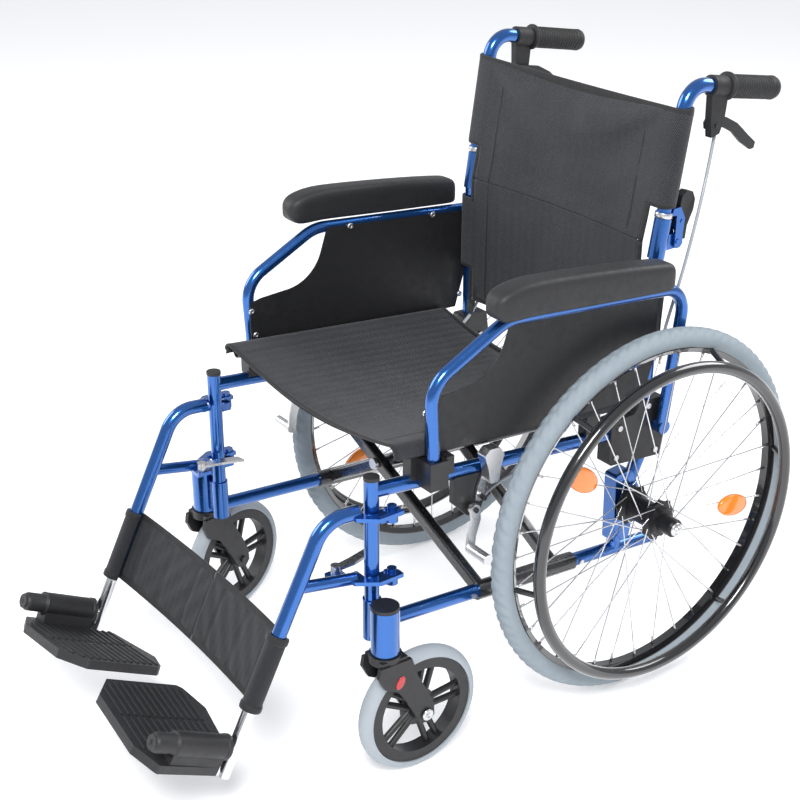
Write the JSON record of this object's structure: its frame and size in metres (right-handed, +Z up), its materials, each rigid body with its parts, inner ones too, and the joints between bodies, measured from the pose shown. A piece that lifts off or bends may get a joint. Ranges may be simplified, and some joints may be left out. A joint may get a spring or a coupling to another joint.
{
  "type": "wheelchair",
  "caption": "Folding wheelchair with spoked rear wheels, front casters, swing-away footrests, flip-up armrests and a fold-down back.",
  "frame": {"origin": "on the floor, in the middle of the whole chair's plan", "axes": "+Z up, -Y forward, +X to the sitter's left; the rear axle stands at Y = 0.274 m"},
  "size_m": [0.686, 1.148, 0.9477],
  "materials": {
    "blue_paint": "glossy metallic blue lacquer",
    "black_steel": "satin black powder coat",
    "black_plastic": "moulded, lightly grained",
    "rail_plastic": "moulded, lightly grained",
    "bolt_steel": "zinc plated",
    "lock_steel": "zinc plated",
    "chrome_tube": "bright chrome",
    "spoke_steel": "bright",
    "cable_sheath": "smooth sheath",
    "tyre_grey": "moulded tread",
    "caster_tyre_grey": "smooth",
    "rim_black": "black anodised",
    "hub_black": "black anodised",
    "handrim_black": "glossy black",
    "caster_black": "moulded",
    "fork_black": "satin black",
    "pad_foam": "grained polyurethane skin",
    "panel_black": "fine grained sheet",
    "plate_black": "ribbed moulding",
    "grip_rubber": "ribbed",
    "seat_fabric": "woven mesh with bound edges",
    "strap_fabric": "woven mesh with bound edges"
  },
  "bodies": {
    "left_frame": {"left_side_frame": "blue_paint", "left_plastic_fittings": "black_plastic", "left_rail_fittings": "rail_plastic", "left_frame_bolts": "bolt_steel", "left_brake_cable": "cable_sheath", "back_upholstery_lower": "seat_fabric"},
    "crossbar_a": {"crossbar_left_foot": "black_steel", "cross_pivot_bolts": "bolt_steel", "seat_upholstery": "seat_fabric"},
    "crossbar_b": {"crossbar_right_foot": "black_steel"},
    "right_frame": {"right_side_frame": "blue_paint", "right_plastic_fittings": "black_plastic", "right_rail_fittings": "rail_plastic", "right_frame_bolts": "bolt_steel", "right_brake_cable": "cable_sheath"},
    "left_rear_wheel": {"left_hub": "hub_black", "left_rim": "rim_black", "left_tyre": "tyre_grey", "left_spokes": "spoke_steel", "left_handrim": "handrim_black"},
    "left_caster_fork_body": {"left_caster_fork": "fork_black"},
    "left_caster_wheel_body": {"left_caster_wheel": "caster_black", "left_caster_tyre": "caster_tyre_grey"},
    "left_armrest": {"left_armrest_tube": "blue_paint", "left_armrest_pad": "pad_foam", "left_side_panel": "panel_black"},
    "left_hanger_body": {"left_hanger": "blue_paint", "left_calf_strap": "strap_fabric"},
    "left_latch": {"left_hanger_latch": "lock_steel"},
    "left_extension": {"left_footrest_extension": "chrome_tube"},
    "left_footplate_body": {"left_footplate": "plate_black"},
    "left_back": {"left_back_cane": "blue_paint", "left_push_grip": "grip_rubber", "back_upholstery_upper": "seat_fabric"},
    "left_release": {"left_back_release": "black_plastic"},
    "left_lever": {"left_brake_lever": "black_plastic"},
    "left_lock_lever": {"left_lock_handle": "lock_steel"},
    "left_lock_shoe": {"left_lock_arm": "lock_steel"},
    "right_rear_wheel": {"right_hub": "hub_black", "right_rim": "rim_black", "right_tyre": "tyre_grey", "right_spokes": "spoke_steel", "right_handrim": "handrim_black"},
    "right_caster_fork_body": {"right_caster_fork": "fork_black"},
    "right_caster_wheel_body": {"right_caster_wheel": "caster_black", "right_caster_tyre": "caster_tyre_grey"},
    "right_armrest": {"right_armrest_tube": "blue_paint", "right_armrest_pad": "pad_foam", "right_side_panel": "panel_black"},
    "right_hanger_body": {"right_hanger": "blue_paint", "right_calf_strap": "strap_fabric"},
    "right_latch": {"right_hanger_latch": "lock_steel"},
    "right_extension": {"right_footrest_extension": "chrome_tube"},
    "right_footplate_body": {"right_footplate": "plate_black"},
    "right_back": {"right_back_cane": "blue_paint", "right_push_grip": "grip_rubber"},
    "right_release": {"right_back_release": "black_plastic"},
    "right_lever": {"right_brake_lever": "black_plastic"},
    "right_lock_lever": {"right_lock_handle": "lock_steel"},
    "right_lock_shoe": {"right_lock_arm": "lock_steel"}
  },
  "joints": [
    {"name": "frame_fold", "type": "hinge", "parent": "left_frame", "child": "crossbar_a", "pos_m": [0.222, 0.27398, 0.2156], "axis": [0, 0.9986, -0.0523], "range_deg": [0, 42.7], "deforming": ["seat_upholstery", "back_upholstery_upper", "back_upholstery_lower", "left_calf_strap", "right_calf_strap"]},
    {"name": "brace_pivot", "type": "hinge", "parent": "crossbar_a", "child": "crossbar_b", "pos_m": [0, 0.27398, 0.34525], "axis": [0, 0.9986, -0.0523], "range_deg": [-85.4, 0]},
    {"name": "right_rail_pivot", "type": "hinge", "parent": "crossbar_b", "child": "right_frame", "pos_m": [-0.222, 0.27398, 0.2156], "axis": [0, 0.9986, -0.0523], "range_deg": [0, 42.7]},
    {"name": "left_wheel_spin", "type": "hinge", "parent": "left_frame", "child": "left_rear_wheel", "pos_m": [0.276, 0.27398, 0.3], "axis": [1, 0, 0], "continuous": true},
    {"name": "left_caster_swivel", "type": "hinge", "parent": "left_frame", "child": "left_caster_fork_body", "pos_m": [0.264, -0.20802, 0.25], "axis": [0, 0, 1], "continuous": true},
    {"name": "left_caster_spin", "type": "hinge", "parent": "left_caster_fork_body", "child": "left_caster_wheel_body", "pos_m": [0.264, -0.15102, 0.1013], "axis": [1, 0, 0], "continuous": true},
    {"name": "left_armrest_flip", "type": "hinge", "parent": "left_frame", "child": "left_armrest", "pos_m": [0.247, 0.32098, 0.424], "axis": [-1, 0, 0], "range_deg": [0, 85]},
    {"name": "left_hanger_swing", "type": "hinge", "parent": "left_frame", "child": "left_hanger_body", "pos_m": [0.234, -0.17602, 0.37], "axis": [0, 0, 1], "range_deg": [0, 100]},
    {"name": "left_latch_release", "type": "hinge", "parent": "left_hanger_body", "child": "left_latch", "pos_m": [0.196, -0.24602, 0.334], "axis": [0, 0, 1], "range_deg": [0, 25], "stiffness_Nm_per_rad": 0.2},
    {"name": "left_footrest_length", "type": "slide", "parent": "left_hanger_body", "child": "left_extension", "axis": [0, -0.4462, -0.8949], "range_m": [-0.03, 0.04]},
    {"name": "left_footplate_flip", "type": "hinge", "parent": "left_extension", "child": "left_footplate_body", "pos_m": [0.218, -0.43202, 0.118], "axis": [0, 0.8949, -0.4462], "range_deg": [0, 82.1]},
    {"name": "left_back_fold", "type": "hinge", "parent": "left_frame", "child": "left_back", "pos_m": [0.222, 0.33498, 0.714], "axis": [-1, 0, 0], "range_deg": [0, 110], "deforming": ["left_brake_cable", "right_brake_cable"]},
    {"name": "left_release_press", "type": "hinge", "parent": "left_back", "child": "left_release", "pos_m": [0.222, 0.33998, 0.744], "axis": [1, 0, 0], "range_deg": [0, 14], "stiffness_Nm_per_rad": 0.3},
    {"name": "left_brake_squeeze", "type": "hinge", "parent": "left_back", "child": "left_lever", "pos_m": [0.217, 0.39798, 0.874], "axis": [1, 0, 0], "range_deg": [0, 18], "stiffness_Nm_per_rad": 0.6, "springref_deg": -11.46},
    {"name": "left_lock_release", "type": "hinge", "parent": "left_frame", "child": "left_lock_lever", "pos_m": [0.24, -0.02602, 0.404], "axis": [-1, 0, 0], "range_deg": [0, 35]},
    {"name": "left_lock_shoe_swing", "type": "hinge", "parent": "left_frame", "child": "left_lock_shoe", "pos_m": [0.245, -0.04002, 0.388], "axis": [-1, 0, 0], "range_deg": [0, 12.1]},
    {"name": "right_wheel_spin", "type": "hinge", "parent": "right_frame", "child": "right_rear_wheel", "pos_m": [-0.276, 0.27398, 0.3], "axis": [1, 0, 0], "continuous": true},
    {"name": "right_caster_swivel", "type": "hinge", "parent": "right_frame", "child": "right_caster_fork_body", "pos_m": [-0.264, -0.20802, 0.25], "axis": [0, 0, 1], "continuous": true},
    {"name": "right_caster_spin", "type": "hinge", "parent": "right_caster_fork_body", "child": "right_caster_wheel_body", "pos_m": [-0.27875, -0.15296, 0.1013], "axis": [0.9659, 0.2588, 0], "continuous": true},
    {"name": "right_armrest_flip", "type": "hinge", "parent": "right_frame", "child": "right_armrest", "pos_m": [-0.247, 0.32098, 0.424], "axis": [-1, 0, 0], "range_deg": [0, 85]},
    {"name": "right_hanger_swing", "type": "hinge", "parent": "right_frame", "child": "right_hanger_body", "pos_m": [-0.234, -0.17602, 0.37], "axis": [0, 0, -1], "range_deg": [0, 100]},
    {"name": "right_latch_release", "type": "hinge", "parent": "right_hanger_body", "child": "right_latch", "pos_m": [-0.196, -0.24602, 0.334], "axis": [0, 0, -1], "range_deg": [0, 25], "stiffness_Nm_per_rad": 0.2},
    {"name": "right_footrest_length", "type": "slide", "parent": "right_hanger_body", "child": "right_extension", "axis": [0, -0.4462, -0.8949], "range_m": [-0.03, 0.04]},
    {"name": "right_footplate_flip", "type": "hinge", "parent": "right_extension", "child": "right_footplate_body", "pos_m": [-0.218, -0.43202, 0.118], "axis": [0, -0.8949, 0.4462], "range_deg": [0, 82.1]},
    {"name": "right_back_fold", "type": "hinge", "parent": "right_frame", "child": "right_back", "pos_m": [-0.222, 0.33498, 0.714], "axis": [-1, 0, 0], "range_deg": [0, 110]},
    {"name": "right_release_press", "type": "hinge", "parent": "right_back", "child": "right_release", "pos_m": [-0.222, 0.33998, 0.744], "axis": [1, 0, 0], "range_deg": [0, 14], "stiffness_Nm_per_rad": 0.3},
    {"name": "right_brake_squeeze", "type": "hinge", "parent": "right_back", "child": "right_lever", "pos_m": [-0.217, 0.39798, 0.874], "axis": [1, 0, 0], "range_deg": [0, 18], "stiffness_Nm_per_rad": 0.6, "springref_deg": -11.46},
    {"name": "right_lock_release", "type": "hinge", "parent": "right_frame", "child": "right_lock_lever", "pos_m": [-0.24, -0.02602, 0.404], "axis": [-1, 0, 0], "range_deg": [0, 35]},
    {"name": "right_lock_shoe_swing", "type": "hinge", "parent": "right_frame", "child": "right_lock_shoe", "pos_m": [-0.245, -0.04002, 0.388], "axis": [-1, 0, 0], "range_deg": [0, 12.1]}
  ],
  "couplings": [
    {"joint": "brace_pivot", "follows": "frame_fold", "ratio": -2},
    {"joint": "right_rail_pivot", "follows": "frame_fold", "ratio": 1},
    {"joint": "left_footplate_flip", "follows": "frame_fold", "ratio": 1.9204},
    {"joint": "left_lock_shoe_swing", "follows": "left_lock_release", "ratio": 0.343},
    {"joint": "right_footplate_flip", "follows": "frame_fold", "ratio": 1.9204},
    {"joint": "right_lock_shoe_swing", "follows": "right_lock_release", "ratio": 0.343},
    {"joint": "right_back_fold", "follows": "left_back_fold", "ratio": 1}
  ]
}
